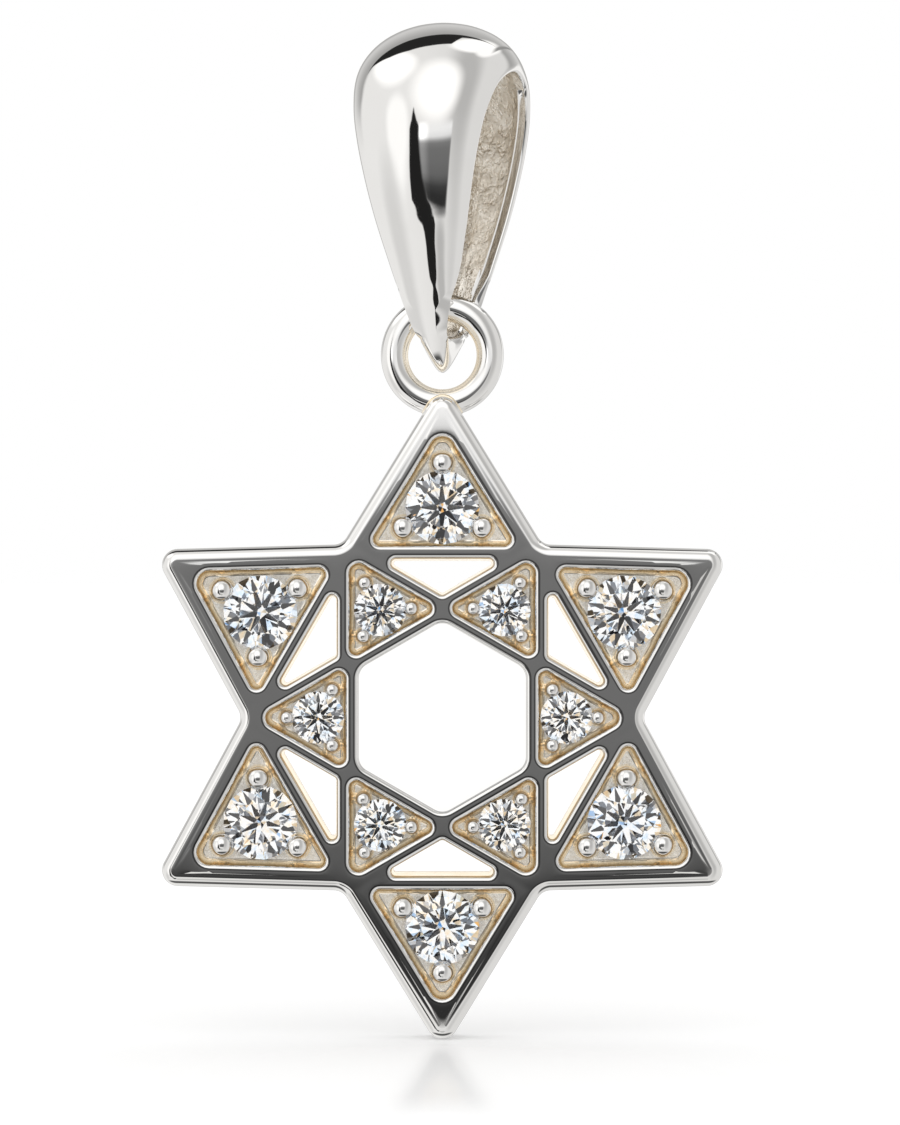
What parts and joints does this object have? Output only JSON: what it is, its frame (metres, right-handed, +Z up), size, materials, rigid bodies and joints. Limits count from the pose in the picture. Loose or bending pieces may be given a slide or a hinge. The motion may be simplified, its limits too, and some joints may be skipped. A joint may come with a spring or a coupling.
{
  "type": "star of david pendant",
  "caption": "Six pointed star pendant with pierced lattice and stones held by bead prongs, hanging by a soldered ring from a hollow tapered bail.",
  "frame": {"origin": "where the chain lies in the bail, at the top of the bail's opening", "axes": "+Z up, along the hanging pendant; the stones face -Y; the star lies in the XZ plane"},
  "size_m": [0.018, 0.0064, 0.0327],
  "materials": {
    "silver": "polished",
    "clear_stone": "faceted and polished"
  },
  "bodies": {
    "bail": {"bail": "silver"},
    "drop": {"star_frame": "silver", "large_stone_1": "clear_stone", "large_stone_2": "clear_stone", "large_stone_3": "clear_stone", "large_stone_4": "clear_stone", "large_stone_5": "clear_stone", "large_stone_6": "clear_stone", "small_stone_1": "clear_stone", "small_stone_2": "clear_stone", "small_stone_3": "clear_stone", "small_stone_4": "clear_stone", "small_stone_5": "clear_stone", "small_stone_6": "clear_stone"}
  },
  "joints": [
    {"name": "drop_swing", "type": "hinge", "parent": "bail", "child": "drop", "pos_m": [0, 0, -0.00747], "axis": [0.9135, -0.4067, 0], "range_deg": [-30, 30]}
  ]
}
